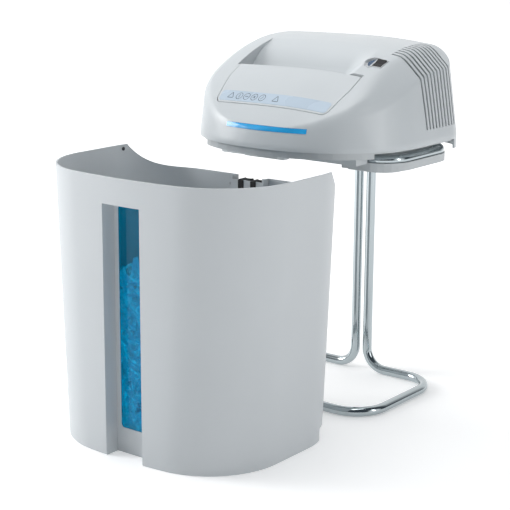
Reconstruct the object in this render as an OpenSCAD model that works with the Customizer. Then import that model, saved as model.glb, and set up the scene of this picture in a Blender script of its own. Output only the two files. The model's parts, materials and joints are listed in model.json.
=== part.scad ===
// Free-standing paper shredder: a cutting head on a bent tube stand, with a pull-out waste bin.
// Stand frame: +X to the right, +Y to the back, +Z up, zero at the floor between the two posts.
// in_place() then moves everything so that the origin is the centre of the footprint.

/* [Head] */
// Half of the head's width at its lower edge
head_half_w = 196; // [194:0.5:198]
// Height of the head's lower edge above the floor
seam_z = 442; // [441:0.5:444]
// Reach of the head's front, from the posts
head_front = 321; // [319:0.5:323]
// Height of the highest point of the head
crest_z = 597.5; // [596:0.5:600]
// Thickness of the moulded covers
wall = 3; // [2.6:0.1:3.2]
// How far the paper pocket reaches to the left of the middle
pocket_left = 125; // [123:0.5:126]
// Number of cooling slots in the right side
vent_count = 10; // [6:1:10]

/* [Stand] */
// Diameter of the stand tube
tube_d = 16; // [15:0.5:16.5]
// Half of the distance between the side tubes, centre to centre
loop_half_w = 153.5; // [150:0.5:154]
// Distance from the posts to the front tube of the base
base_reach = 222; // [218:1:224]
// Height of the support loop's centre line
loop_z = 419; // [418:0.5:420]
// Half of the distance between the two posts
post_half_gap = 12.3; // [12:0.1:12.6]

/* [Bin] */
// Half of the bin's width at the rim
bin_half_w = 207; // [205:0.5:208]
// Half of the bin's width at the floor
bin_foot_half_w = 188.5; // [187:0.5:190]
// Depth of the bin from front to back
bin_depth = 314; // [313:0.5:315]
// Height of the bin's rim
bin_rim_z = 428; // [426:0.5:428.5]
// Height of the bin's back wall
bin_back_z = 387; // [384:0.5:388]
// Thickness of the bin's walls
bin_wall = 3; // [2.6:0.1:3.2]
// How far the bin is pulled out, along Y
pull_out = 264; // [260:0.5:265]
// How far the pulled-out bin stands to the left
pull_left = 34; // [30:0.5:35]

/* [Cutters] */
// Outer diameter of a cutting disc
disc_d = 32; // [31:0.5:32.5]
// Distance between the two cutter shafts
shaft_gap = 29; // [28.8:0.1:29.2]
// Distance between neighbouring discs on one shaft
disc_pitch = 11.6; // [11.4:0.1:11.8]
// Number of discs on the rear shaft
rear_discs = 20; // [16:1:20]

/* [Hidden] */

// Body colours
grey = [0.80, 0.82, 0.83];
dark = [0.13, 0.14, 0.15];
steel = [0.66, 0.68, 0.70];
blue = [0.05, 0.45, 0.85];

// Head outline: a superellipse in front, straight sides, round back corners
bow_n = 2.3;
bow_y = -133;
head_back = 11;
back_r = 60;
rim_step = 7.5;
// How far the upper edge of the walls stands in from the lower edge: right side, left side, front
right_inset = 18;
left_inset = 12;
front_inset = 4;
edge_drop = 10;
// Deck: a parabola along Y, lowered by the crown and the shoulders along X
crest_y = -40;
deck_k = 0.00164;
crown_k = 0.00045;
bend_x = 143;
shoulder_slope = 0.94;
left_crown_k = 0.0001;
left_bend_x = 160;
left_slope = 1.1;
back_round = 30;
narrow_r = 60;
skirt_z = 426;
skirt_y = -38;
lip_h = 6;
slab = 0.02;
deck_stations = [-316, -312, -303, -290, -270, -250, -225, -200, -170, -133, -95, -60, -39];
back_stations = [-26, -15, -4, 4, 9, head_back];

// Paper pocket and slot
lip_y = -200;
slot_back = -183;
slot_z = 538;
ramp_line = [[slot_back, slot_z], [-165, 545.5], [-154, 557.5], [-140, 569.5], [-127, 578.5], [-100, 591]];
ramp_full_x = 60;
ramp_out_x = 104;
slot_right = 119;
slot_narrow = 6.5;

// Tongue panel and label strip
tongue_front = -280;
tongue_half_w = 118;
tongue_foot_half_w = 107;
strip_back = -259;
panel_gap = 0.8;
panel_shift = -0.5;
panel_rise = 0.4;
label_t = 0.5;

// Light bar
bar_x = 13;
bar_half_w = 74;
bar_low = 470;
bar_high = 477;

// Power switch
switch_x = 114.5;
switch_y = -157.8;
dish_r = 15;
lens_r = 10.5;
rocker_w = 15.6;
rocker_l = 20;
rocker_rest = 7;
rocker_pin_z = -4;
rocker_pin_r = 1.5;
bezel_x = 19;
bezel_half_l = 13;

// Cutter shafts, gears and motor, as [y, z] of each axis
nip_y = -186;
shaft_z = 478;
rear_axis = [nip_y + shaft_gap / 2, shaft_z];
front_axis = [nip_y - shaft_gap / 2, shaft_z];
second_axis = [rear_axis[0] + 30, rear_axis[1] + 22.5];
first_axis = [second_axis[0] + 33, second_axis[1] - 11.66];
motor_axis = [first_axis[0] + 28.8, first_axis[1] - 8.4];
plate_x = 119;
plate_t = 3;
disc_t = 5.6;
core_r = 8;
journal_r = 6;
fit = 0.05;
front_discs = rear_discs - 1;
pin_r = 3;
motor_r = 30;
motor_shaft_r = 4;
motor_far = -8;

// Tray, cradles and chute
tray_inset = 4;
tray_floor_z = seam_z - 3;
tray_lip_z = 431;
tray_lip_x = 120;
cradle_low = 397;
cradle_high = 415;
cradle_out = 9;
cradle_foot_out = -9;
cradle_in = 24;
cradle_back_y = -6;
chute_low = 414;
chute_x = 128;
chute_front = -224;
chute_back = -192;

// Gap between the docked bin's back wall and the posts' centre plane
dock_gap = 11;

// Bin outlines
bin_front_r = 775;
bin_corner_r = 126;
bin_back_r = 100;
bin_back_y = -dock_gap - pull_out;
bin_floor_z = 25;
skirt_clear_z = 22;
skirt_reach = 68;
recess_half_w = 36;
recess_depth = 26;
recess_top = 388;
window_half_w = 28;
window_low = 40;
window_high = 383;
channel_half_w = 30;
channel_depth = 14;
rim_fall_y = 77;

// Cord gland
gland_x = -110;
gland_z = 462;
gland_r = 9;
gland_bore_r = 4.2;
gland_inner_y = 3;
gland_flange_t = 3;

// Footprint, from the bin's left edge to the head's right edge and from the bin's front to the head's back
x_low = -pull_left - bin_half_w;
x_high = head_half_w;
y_low = bin_back_y - bin_depth + bin_front_r - sqrt(pow(bin_front_r, 2) - pow(recess_half_w, 2));
y_high = head_back + gland_flange_t;

module in_place() {
    translate([-(x_low + x_high) / 2, -(y_low + y_high) / 2, 0]) children();
}

// Turns a shape drawn in the XY plane so that it lies in the YZ plane and is extruded along +X
module along_x(from, to) {
    translate([from, 0, 0]) rotate([90, 0, 90]) linear_extrude(to - from) children();
}

module x_rod(axis, r, from, to, fn = 48) {
    translate([from, axis[0], axis[1]]) rotate([0, 90, 0]) cylinder(r = r, h = to - from, $fn = fn);
}

// ---------- outlines of the head ----------

function bow_point(t, w, d) = [
    w * pow(sin(t), 2 / bow_n),
    bow_y - d * pow(cos(t), 2 / bow_n)
];

function bow_x(y, w, d) = y >= bow_y ? w : w * pow(max(0, 1 - pow((bow_y - y) / d, bow_n)), 1 / bow_n);

function half_outline(inset, w, front, back, r) = concat(
    [for (t = [0:rim_step:90]) bow_point(t, w - inset, front + bow_y - inset)],
    [for (a = [0:15:90]) [w - r + (r - inset) * cos(a), back - r + (r - inset) * sin(a)]]
);

function mirrored(half) = [for (i = [len(half) - 1:-1:0]) if (half[i][0] > 0.001) [-half[i][0], half[i][1]]];

module head_plan(inset = 0) {
    half = half_outline(inset, head_half_w, head_front, head_back, back_r);
    polygon(concat(half, mirrored(half)));
}

function deck_z(y) = crest_z - deck_k * pow(max(0, crest_y - y), 2);

// How far the deck lies below its middle line at x; the left shoulder stands further out than the right one
function fall(x, k, bend, slope) = x <= bend ? k * x * x : k * bend * bend + slope * (x - bend);
function drop(x) = x < 0
    ? fall(-x, left_crown_k, left_bend_x, left_slope)
    : fall(x, crown_k, bend_x, shoulder_slope);

// The back of the deck rounds down, and its sides round in
function quarter(y, r) = let(d = max(0, y + r - head_back)) r - sqrt(max(0, r * r - d * d));

function edge_inset(y, side) = let(e = side > 0 ? right_inset : left_inset)
    y >= bow_y ? e : e + (front_inset - e) * (bow_y - y) / (head_front + bow_y);
function section_x(y, side) = let(e = edge_inset(y, side))
    bow_x(y, head_half_w - e, head_front + bow_y - e) - quarter(y, narrow_r);
function edge_round(y) = y >= bow_y ? 0 : edge_drop * min(1, (bow_y - y) / 100);

// Upper line of the section at y, from the middle outwards to one side
function section_half(y, inset, side) = let(
    w = section_x(y, side) - inset,
    top = deck_z(y) - quarter(y, back_round) - inset,
    r = edge_round(y)
) concat(
    [for (x = [0, 45, 85, 118, bend_x, left_bend_x]) if (x < w - 15) [side * x, top - drop(side * x)]],
    [for (e = [[14, 0], [5, 0.35], [0, 1]]) [side * (w - e[0]), top - drop(side * (w - e[0])) - e[1] * r]]
);

function reversed(list) = [for (i = [len(list) - 1:-1:0]) list[i]];

module section_slab(y, inset) {
    right = section_half(y, inset, 1);
    left = section_half(y, inset, -1);
    low = min(right[len(right) - 1][1], left[len(left) - 1][1]) - 1;
    shift = y > 0 ? -inset : (y < bow_y ? min(inset, bow_y - y) : 0);
    translate([0, y + shift, 0]) rotate([90, 0, 0]) linear_extrude(slab)
        polygon(concat([[0, low]], right, reversed(left)));
}

// The whole volume of the head above its lower edge, with all its walls moved inwards by inset
module head_solid(inset = 0) {
    hull() {
        translate([0, 0, seam_z]) linear_extrude(lip_h) head_plan(inset);
        for (y = concat(deck_stations, back_stations)) section_slab(y, inset);
    }
}

// A skin that follows the head's outside, between two depths below it
module head_skin(outer, inner) {
    difference() {
        head_solid(outer);
        head_solid(inner);
    }
}

// ---------- stand ----------

module torus_part(r, a) {
    rotate_extrude(angle = a, $fn = 96) translate([r, 0]) circle(d = tube_d, $fn = 40);
}

module tube_run(length) {
    cylinder(d = tube_d, h = length, $fn = 40);
}

// A flat loop open at the back, where two bends turn it towards the posts at x = +-post_half_gap
bend_r = 36;
module flat_loop(half_w, reach, r) {
    for (s = [-1, 1]) {
        translate([s * half_w, -r, 0]) rotate([90, 0, 0]) tube_run(reach - 2 * r);
        translate([s * (half_w - r), -r, 0]) mirror([s < 0 ? 1 : 0, 0, 0]) torus_part(r, 90);
        translate([s * (half_w - r), r - reach, 0])
            mirror([s < 0 ? 1 : 0, 0, 0]) rotate([0, 0, -90]) torus_part(r, 90);
        translate([s * (post_half_gap + bend_r), 0, 0]) rotate([0, s * 90, 0])
            tube_run(half_w - r - post_half_gap - bend_r);
    }
    translate([r - half_w, -reach, 0]) rotate([0, 90, 0]) tube_run(2 * (half_w - r));
}

// Quarter bends between the loop's back runs and the posts; up = 1 above a loop, -1 below it
module post_bends(up) {
    for (s = [-1, 1])
        mirror([s < 0 ? 1 : 0, 0, 0]) translate([post_half_gap + bend_r, 0, up * bend_r])
            rotate([90, 0, 0]) rotate([0, 0, up > 0 ? 180 : 90]) torus_part(bend_r, 90);
}

// Height where the posts of the base end and those of the support loop begin
joint_z = loop_z - bend_r - 9;
base_loop_r = 55;
module stand_tube() {
    color(steel) in_place() {
        translate([0, 0, tube_d / 2]) flat_loop(loop_half_w, base_reach, base_loop_r);
        translate([0, 0, tube_d / 2]) post_bends(1);
        for (s = [-1, 1])
            translate([s * post_half_gap, 0, tube_d / 2 + bend_r]) tube_run(joint_z - tube_d / 2 - bend_r);
    }
}

// Smaller loop that carries the head
head_loop_w = loop_half_w + 11.5;
head_loop_reach = 181;
head_loop_r = 45;
module support_loop() {
    color(steel) in_place() {
        translate([0, 0, loop_z]) flat_loop(head_loop_w, head_loop_reach, head_loop_r);
        translate([0, 0, loop_z]) post_bends(-1);
        for (s = [-1, 1])
            translate([s * post_half_gap, 0, joint_z]) tube_run(9);
    }
}

// Plan of the support loop, grown from its centre line
module loop_area(grow, corner) {
    offset(r = corner) translate([corner - head_loop_w - grow, corner - head_loop_reach - grow])
        square([2 * (head_loop_w + grow - corner), head_loop_reach + 2 * (grow - corner)]);
}

// Plan of a band along the front and right side of the loop, between two distances outside its centre line
module loop_band(end_x, inner, outer, corner) {
    intersection() {
        difference() {
            loop_area(outer, corner);
            loop_area(inner, head_loop_r + inner);
        }
        polygon([
            [end_x, -head_loop_reach - 40], [head_loop_w + 40, -head_loop_reach - 40],
            [head_loop_w + 40, cradle_back_y], [head_loop_w - head_loop_r, cradle_back_y],
            [head_loop_w - head_loop_r, -head_loop_reach / 2], [end_x, -head_loop_reach / 2]
        ]);
    }
}

cradle_screw_x = head_loop_w - 18;
cradle_screw_y = [-50, -120];

// Moulded saddle under one front corner and side of the support loop; its inner rib meets the tray
module cradle(end_x, corner) {
    gap = tube_d / 2 + 0.4;
    bend_x = head_loop_w - head_loop_r;
    side = head_loop_reach - head_loop_r;
    difference() {
        union() {
            translate([0, 0, cradle_low]) linear_extrude(5)
                loop_band(end_x, -cradle_in, cradle_foot_out, head_loop_r + cradle_foot_out);
            translate([0, 0, cradle_low + 5]) linear_extrude(cradle_high - cradle_low - 5)
                loop_band(end_x, -cradle_in, cradle_out, corner);
            translate([0, 0, cradle_high]) linear_extrude(tray_floor_z - cradle_high)
                loop_band(end_x, -cradle_in, -12, head_loop_r - 12);
        }
        translate([0, 0, loop_z]) {
            translate([head_loop_w, -head_loop_r, 0]) rotate([90, 0, 0])
                cylinder(r = gap, h = side - head_loop_r, $fn = 40);
            translate([0, -head_loop_reach, 0]) rotate([0, 90, 0]) cylinder(r = gap, h = bend_x, $fn = 40);
            for (turn = [[-side, -90], [-head_loop_r, 0]])
                translate([bend_x, turn[0], 0]) rotate([0, 0, turn[1]])
                    rotate_extrude(angle = 90, $fn = 96) translate([head_loop_r, 0]) circle(r = gap, $fn = 40);
        }
        for (y = cradle_screw_y)
            translate([cradle_screw_x, y, cradle_low - 1]) cylinder(r = 1.6, h = 50, $fn = 24);
    }
}

module right_cradle() {
    color(grey) in_place() cradle(78, head_loop_r + cradle_out);
}

// The left one is longer, with a squarer outer corner
module left_cradle() {
    color(grey) in_place() mirror([1, 0, 0]) cradle(50, 12);
}

// Pan-head screw: the head stands above z = 0 and the shank goes down
module screw(r, head_r, head_h, length) {
    cylinder(r = head_r, h = head_h, $fn = 24);
    translate([0, 0, -length]) cylinder(r = r, h = length + 0.01, $fn = 20);
}

module cradle_screws() {
    color(steel) in_place()
        for (s = [-1, 1], y = cradle_screw_y)
            translate([s * cradle_screw_x, y, cradle_low]) mirror([0, 0, 1]) screw(1.5, 3, 1.6, seam_z - cradle_low - 0.5);
}

// ---------- underside of the head ----------

tray_half_w = head_half_w - tray_inset;
module tray_plan(inset) {
    half = half_outline(inset, tray_half_w, head_front - tray_inset, head_back - tray_inset, back_r - tray_inset);
    polygon(concat(half, mirrored(half)));
}

tray_screws_at = [[-170, -150], [170, -150], [-170, -20], [170, -20]];
// Moulded floor of the head, with a lip that shows under the cover's front edge
module base_tray() {
    color(grey) in_place() difference() {
        union() {
            translate([0, 0, tray_floor_z]) linear_extrude(seam_z - tray_floor_z) tray_plan(0);
            translate([0, 0, tray_lip_z]) linear_extrude(tray_floor_z - tray_lip_z + 0.01) intersection() {
                difference() {
                    tray_plan(0);
                    tray_plan(wall);
                }
                translate([-tray_lip_x, -head_front - 10]) square([head_half_w + tray_lip_x, 96]);
            }
            // slope that turns the shreds forwards into the chute
            along_x(-117, 117) polygon([
                [chute_back - 3, seam_z - 0.01], [chute_back, seam_z - 0.01], [-172, 456], [-174, 456]
            ]);
        }
        // discharge opening under the cutters
        translate([-chute_x + 3, chute_front + 3, tray_floor_z - 1])
            cube([2 * chute_x - 6, chute_back - chute_front - 6, 10]);
        for (p = tray_screws_at) translate([p[0], p[1], tray_floor_z - 1]) cylinder(r = 2.1, h = 10, $fn = 24);
        for (s = [-1, 1], y = cradle_screw_y)
            translate([s * cradle_screw_x, y, tray_floor_z - 1]) cylinder(r = 1.6, h = 10, $fn = 24);
    }
}

module tray_screws() {
    color(steel) in_place()
        for (p = tray_screws_at) translate([p[0], p[1], tray_floor_z]) mirror([0, 0, 1]) screw(2, 4, 2, 2.9);
}

// Four-sided chute that keeps the shreds off the tubes
module discharge_chute() {
    color(dark) in_place() translate([0, 0, chute_low]) linear_extrude(tray_floor_z - chute_low) difference() {
        translate([-chute_x, chute_front]) square([2 * chute_x, chute_back - chute_front]);
        translate([-chute_x + 2, chute_front + 2]) square([2 * chute_x - 4, chute_back - chute_front - 4]);
    }
}

// ---------- cover of the head ----------

// Section across the pocket as [y, z] points; `fade` raises the ramp from its full depth, 0, to the deck, 1
function pocket_section(fade, grow) = concat(
    [[lip_y, 640], [lip_y, slot_z + fade * (deck_z(lip_y) - 4 - slot_z) - grow]],
    [for (p = ramp_line) [p[0] + 1.25 * grow, p[1] + fade * (deck_z(p[0]) - 4 - p[1]) - grow]],
    [[ramp_line[5][0] + 1.25 * grow, 640]]
);

// Pocket whose ramp runs out into the deck in front of the switch
module ramp_space(grow) {
    start = ramp_full_x;
    end = ramp_out_x + grow;
    near = pocket_section(0, grow);
    far = pocket_section(1, grow);
    n = len(near);
    along_x(-pocket_left - 1.25 * grow, start + 0.01) polygon(near);
    polyhedron(
        points = concat([for (p = near) [start, p[0], p[1]]], [for (p = far) [end, p[0], p[1]]]),
        faces = concat(
            [[for (i = [0:n - 1]) i], [for (i = [0:n - 1]) 2 * n - 1 - i]],
            [for (i = [0:n - 1]) [(i + 1) % n, i, n + i]],
            [for (i = [0:n - 1]) [(i + 1) % n, n + i, n + (i + 1) % n]]
        )
    );
}

module pocket_void() {
    ramp_space(0);
    translate([-pocket_left, lip_y, slot_z - 8]) cube([pocket_left + ramp_full_x, slot_back - lip_y, 12]);
    translate([ramp_full_x - 1, lip_y, slot_z - 8]) cube([slot_right - ramp_full_x + 1, slot_narrow, 110]);
}

// Material around the pocket and around the narrow end of the slot
module pocket_block() {
    ramp_space(2);
    translate([ramp_full_x, lip_y, slot_z - 2]) cube([slot_right - ramp_full_x + 2.5, slot_narrow + 2.5, 100]);
}

// Tongue-shaped panel in front of the pocket
module tongue_plan(grow) {
    intersection() {
        offset(r = grow) offset(r = 12) offset(r = -12) polygon([
            [-tongue_half_w, lip_y + 30], [tongue_half_w, lip_y + 30], [tongue_half_w, lip_y - 30],
            [tongue_foot_half_w, tongue_front], [-tongue_foot_half_w, tongue_front], [-tongue_half_w, lip_y - 30]
        ]);
        translate([-150, lip_y - 100]) square([300, 100]);
    }
}

vent_pitch = 9.6;
vent_first_y = -121;
vent_w = 4.2;
vent_top_x = 123;
vent_low_z = 465;
module vents() {
    for (i = [0:vent_count - 1])
        translate([vent_top_x, vent_first_y + i * vent_pitch - vent_w / 2, vent_low_z])
            cube([100, vent_w, 200]);
}

// Outline of the switch bezel: round on the left, square on the right
module bezel_plan(grow) {
    offset(r = grow) offset(r = 1.5) offset(r = -1.5) union() {
        intersection() {
            circle(r = dish_r + 1.5, $fn = 64);
            translate([-30, -30]) square([30.5, 60]);
        }
        translate([0, -bezel_half_l]) square([bezel_x, 2 * bezel_half_l]);
    }
}

// Frame of the power switch: z = 0 on the deck, Z out of it, the divider between lens and rocker at x = 0
module switch_frame() {
    translate([switch_x, switch_y, deck_z(switch_y) - drop(switch_x)])
        rotate([atan(2 * deck_k * (crest_y - switch_y)), 0, 0])
            rotate([0, atan(2 * crown_k * switch_x), 0]) children();
}

light_slack = 0.3;
module light_window(slack) {
    translate([bar_x - bar_half_w - slack, -head_front - 20, bar_low - slack])
        cube([2 * (bar_half_w + slack), 80, bar_high - bar_low + 2 * slack]);
}

module back_skirt() {
    translate([0, 0, skirt_z]) linear_extrude(seam_z - skirt_z + lip_h) intersection() {
        difference() {
            head_plan(0);
            head_plan(wall);
        }
        translate([-head_half_w - 5, skirt_y]) square([2 * head_half_w + 10, 80]);
    }
}

module top_cover() {
    color(grey) in_place() difference() {
        union() {
            head_skin(0, wall);
            intersection() {
                head_solid(0.02);
                pocket_block();
            }
            back_skirt();
        }
        pocket_void();
        translate([panel_shift, 0, 480]) linear_extrude(200) tongue_plan(panel_gap);
        vents();
        light_window(light_slack);
        switch_frame() translate([0, 0, -14]) linear_extrude(40) bezel_plan(0.2);
        translate([gland_x, head_back - 20, gland_z]) rotate([-90, 0, 0]) cylinder(r = gland_r + 0.05, h = 40, $fn = 48);
    }
}

// ---------- front panel, label and lights ----------

lip_flange_t = 2.5;
module front_panel() {
    color(grey) in_place() {
        intersection() {
            head_skin(-panel_rise, wall - 0.6);
            translate([0, 0, 480]) linear_extrude(200) tongue_plan(0);
        }
        intersection() {
            head_solid(wall - 0.61);
            translate([1 - tongue_half_w, lip_y - lip_flange_t, slot_z - 4])
                cube([2 * tongue_half_w - 2, lip_flange_t, 40]);
        }
        intersection() {
            head_solid(wall + 0.1);
            translate([1 - pocket_left, lip_y - lip_flange_t, slot_z - 4])
                cube([pocket_left + slot_right - 2, lip_flange_t, 40]);
        }
    }
}

module label_strip() {
    color([0.80, 0.87, 0.93]) in_place() intersection() {
        head_skin(-panel_rise - label_t, -panel_rise);
        translate([0, 0, 480]) linear_extrude(200) intersection() {
            tongue_plan(-2);
            translate([-150, strip_back - 40]) square([300, 40]);
        }
    }
}

module light_bar() {
    color(blue) in_place() intersection() {
        head_skin(-0.4, wall + 1);
        light_window(0);
    }
}

// Circuit board with a row of lamps, standing behind the light bar
light_board_y = -294;
module light_board() {
    color([0.1, 0.35, 0.2]) in_place() {
        translate([bar_x - 68, light_board_y, bar_low - 6]) cube([136, 1.6, 18]);
        for (x = [-56:28:56])
            translate([bar_x + x - 2, light_board_y - 2, bar_low + 1.5]) cube([4, 2.01, 4]);
    }
}

// ---------- power switch ----------

opening_w = rocker_w + 0.8;
opening_l = rocker_l + 2.4;
module switch_bezel() {
    color([0.75, 0.77, 0.79]) in_place() switch_frame() difference() {
        translate([0, 0, -9]) linear_extrude(9.6) bezel_plan(0);
        // dish around the lens
        intersection() {
            translate([0, 0, -2.4]) cylinder(r1 = dish_r - 2, r2 = dish_r + 1, h = 3.01, $fn = 64);
            translate([-31, -30, -5]) cube([30, 60, 10]);
        }
        // seat of the lens
        intersection() {
            translate([0, 0, -7]) cylinder(r = lens_r + 0.1, h = 8, $fn = 64);
            translate([-31.5, -30, -8]) cube([30, 60, 10]);
        }
        // opening for the rocker, and its two pivot holes
        translate([1.4, -opening_l / 2, -10]) cube([opening_w, opening_l, 20]);
        translate([-0.2, 0, rocker_pin_z]) rotate([0, 90, 0]) cylinder(r = rocker_pin_r + fit, h = 30, $fn = 32);
    }
}

module status_lens() {
    color([0.02, 0.12, 0.25]) in_place() switch_frame() intersection() {
        translate([0, 0, -6.9]) cylinder(r = lens_r, h = 5.9, $fn = 64);
        translate([-31.6, -30, -8]) cube([30, 60, 10]);
    }
}

// Rocker with a shallow V on top, moulded with its two pivots
module rocker_switch() {
    l = rocker_l / 2;
    color([0.03, 0.03, 0.035]) in_place() switch_frame()
        translate([0, 0, rocker_pin_z]) rotate([rocker_rest, 0, 0]) translate([0, 0, -rocker_pin_z]) {
            along_x(1.8, 1.8 + rocker_w) polygon([[-l, 1.8], [0, 0.3], [l, 1.8], [l - 2, -6], [2 - l, -6]]);
            translate([0, 0, rocker_pin_z]) rotate([0, 90, 0]) cylinder(r = rocker_pin_r, h = bezel_x - 0.6, $fn = 32);
        }
}

// Contact block under the rocker, clipped to the bezel, with three blade terminals
module switch_body() {
    color(dark) in_place() switch_frame() {
        translate([0.8, -bezel_half_l + 1, -24]) cube([bezel_x - 2, 2 * bezel_half_l - 2, 12.5]);
        for (s = [-1, 1]) translate([2, s * (bezel_half_l - 1.5) - 0.5, -12]) cube([bezel_x - 5, 1, 3]);
        for (y = [-7, 0, 7]) translate([7, y - 0.4, -32]) cube([5, 0.8, 8.1]);
    }
}

// ---------- cord gland ----------

gland_nut_t = 4;
module cord_gland() {
    color(dark) in_place() translate([gland_x, 0, gland_z]) difference() {
        union() {
            translate([0, gland_inner_y, 0]) rotate([-90, 0, 0])
                cylinder(r = gland_r, h = head_back - gland_inner_y, $fn = 48);
            translate([0, head_back, 0]) rotate([-90, 0, 0])
                cylinder(r = gland_r + 3, h = gland_flange_t, $fn = 48);
            translate([0, head_back - wall - gland_nut_t, 0]) rotate([-90, 0, 0])
                cylinder(r = gland_r + 3, h = gland_nut_t, $fn = 6);
        }
        translate([0, gland_inner_y - 1, 0]) rotate([-90, 0, 0]) cylinder(r = gland_bore_r, h = 40, $fn = 48);
    }
}

// ---------- cutting block ----------

rod_points = [[-226, 450], [-226, 503], [-142, 452], [-152, 516]];
right_plate_points = [[-232, 442], [-232, 512], [-206, 533], [-168, 533], [-140, 520], [-132, 442]];
left_plate_points = [[-232, 442], [-232, 512], [-206, 533], [-168, 533], [-120, 530], [-46, 514], [-46, 442]];

module shaft_holes(side) {
    for (a = [front_axis, rear_axis]) x_rod(a, 9.02, side - 10, side + 10);
    for (p = rod_points) x_rod(p, 2.05, side - 10, side + 10, 24);
}

module right_side_plate() {
    color(steel) in_place() difference() {
        along_x(plate_x, plate_x + plate_t) polygon(right_plate_points);
        shaft_holes(plate_x);
    }
}

module left_side_plate() {
    color(steel) in_place() difference() {
        along_x(-plate_x - plate_t, -plate_x) polygon(left_plate_points);
        shaft_holes(-plate_x);
        x_rod(motor_axis, motor_shaft_r + 1, -plate_x - 10, -plate_x + 10);
        for (a = [first_axis, second_axis]) x_rod(a, pin_r + 0.03, -plate_x - 10, -plate_x + 10);
    }
}

module tie_rods() {
    color(steel) in_place() for (p = rod_points) {
        x_rod(p, 4, -plate_x, plate_x, 32);
        x_rod(p, 2, -plate_x - plate_t - 0.01, plate_x + plate_t + 0.01, 24);
        for (s = [-1, 1]) x_rod(p, 3.5, min(s * 122, s * 124.2), max(s * 122, s * 124.2), 24);
    }
}

module shaft_bushes() {
    color([0.72, 0.52, 0.25]) in_place() for (s = [-1, 1], a = [front_axis, rear_axis])
        mirror([s < 0 ? 1 : 0, 0, 0]) difference() {
            union() {
                x_rod(a, 9, plate_x, plate_x + plate_t);
                x_rod(a, 11, plate_x - 1.5, plate_x);
            }
            x_rod(a, journal_r + fit, plate_x - 5, plate_x + plate_t + 5);
        }
}

module cutter(axis, discs, left_end, right_end) {
    core = plate_x - 1.8;
    x_rod(axis, core_r, -core, core);
    x_rod(axis, journal_r, left_end, right_end);
    for (i = [0:discs - 1]) {
        x = (i - (discs - 1) / 2) * disc_pitch;
        x_rod(axis, disc_d / 2, x - disc_t / 2, x + disc_t / 2, 64);
    }
}

journal_end = 134;
module front_cutter() {
    color(steel) in_place() cutter(front_axis, front_discs, -plate_x - plate_t - 0.5, journal_end);
}

module rear_cutter() {
    color(steel) in_place() cutter(rear_axis, rear_discs, -journal_end - 1, journal_end);
}

// Stripper comb: a bar with one finger in each gap between the discs of one shaft
module comb(axis, dir, fingers) {
    bar_near = 19.5;
    color(dark) in_place() {
        translate([-plate_x, dir > 0 ? axis[0] + bar_near : axis[0] - bar_near - 6, shaft_z - 8])
            cube([2 * plate_x, 6, 16]);
        for (i = [0:fingers - 1])
            translate([(i - (fingers - 1) / 2) * disc_pitch - 1.4,
                       dir > 0 ? axis[0] + core_r + 1 : axis[0] - bar_near - 0.1, shaft_z - 4])
                cube([2.8, bar_near - core_r - 0.9, 8]);
    }
}

module front_comb() {
    comb(front_axis, -1, front_discs - 1);
}

module rear_comb() {
    comb(rear_axis, 1, rear_discs - 1);
}

guide_low = 500;
module front_paper_guide() {
    color(dark) in_place() along_x(-plate_x, plate_x) polygon([
        [lip_y, slot_z - 4.1], [lip_y + 2, slot_z - 4.1], [nip_y - 2.8, guide_low], [nip_y - 4.8, guide_low]
    ]);
}

module rear_paper_guide() {
    color(dark) in_place() along_x(-plate_x, plate_x) polygon([
        [slot_back, slot_z - 2.1], [slot_back + 2, slot_z - 2.1], [nip_y + 4.8, guide_low], [nip_y + 2.8, guide_low]
    ]);
}

// Light gate across the paper path: a lamp in front of it and a receiver behind it
module paper_sensor() {
    color([0.1, 0.35, 0.2]) in_place() for (y = [-207, -180.6])
        translate([6, y, 512]) cube([14, 7, 12]);
}

// ---------- gears ----------

sync_teeth = 20;
cutter_teeth = 38;
second_big = 44;
second_small = 12;
first_big = 50;
first_small = 12;
pinion_teeth = 10;
cutter_m = 1.5;
second_m = 1.25;
first_m = 1;
sync_m = shaft_gap / sync_teeth;

function heading(a, b) = atan2(b[1] - a[1], b[0] - a[0]);

// Gear blank with straight-sided teeth; one tooth points along the angle `phase`
module gear_plan(m, teeth, phase) {
    r = m * teeth / 2;
    pitch = 360 / teeth;
    polygon([for (i = [0:teeth - 1], e = [[-0.28, -1.1], [-0.10, 0.8], [0.10, 0.8], [0.28, -1.1]])
        (r + e[1] * m) * [cos(phase + (i + e[0]) * pitch), sin(phase + (i + e[0]) * pitch)]]);
}

module gear(axis, m, teeth, phase, from, to) {
    translate([0, axis[0], axis[1]]) along_x(from, to) gear_plan(m, teeth, phase);
}

module front_sync_gear() {
    color(steel) in_place() difference() {
        gear(front_axis, sync_m, sync_teeth, heading(front_axis, rear_axis) + 180 / sync_teeth, 125, 133);
        x_rod(front_axis, journal_r + 0.02, 120, 140);
    }
}

module rear_sync_gear() {
    color(steel) in_place() difference() {
        gear(rear_axis, sync_m, sync_teeth, heading(rear_axis, front_axis), 125, 133);
        x_rod(rear_axis, journal_r + 0.02, 120, 140);
    }
}

module cutter_gear() {
    color(steel) in_place() difference() {
        gear(rear_axis, cutter_m, cutter_teeth, heading(rear_axis, second_axis), -134, -126);
        x_rod(rear_axis, journal_r + 0.02, -140, -120);
    }
}

module second_gear() {
    color([0.85, 0.85, 0.80]) in_place() difference() {
        union() {
            gear(second_axis, cutter_m, second_small,
                 heading(second_axis, rear_axis) + 180 / second_small, -135.5, -126);
            gear(second_axis, second_m, second_big, heading(second_axis, first_axis), -142, -135.4);
        }
        x_rod(second_axis, pin_r + fit, -160, -120);
    }
}

module first_gear() {
    color([0.85, 0.85, 0.80]) in_place() difference() {
        union() {
            gear(first_axis, second_m, first_small,
                 heading(first_axis, second_axis) + 180 / first_small, -143.3, -135.6);
            gear(first_axis, first_m, first_big, heading(first_axis, motor_axis), -149.5, -143.2);
        }
        x_rod(first_axis, pin_r + fit, -160, -120);
    }
}

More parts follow.
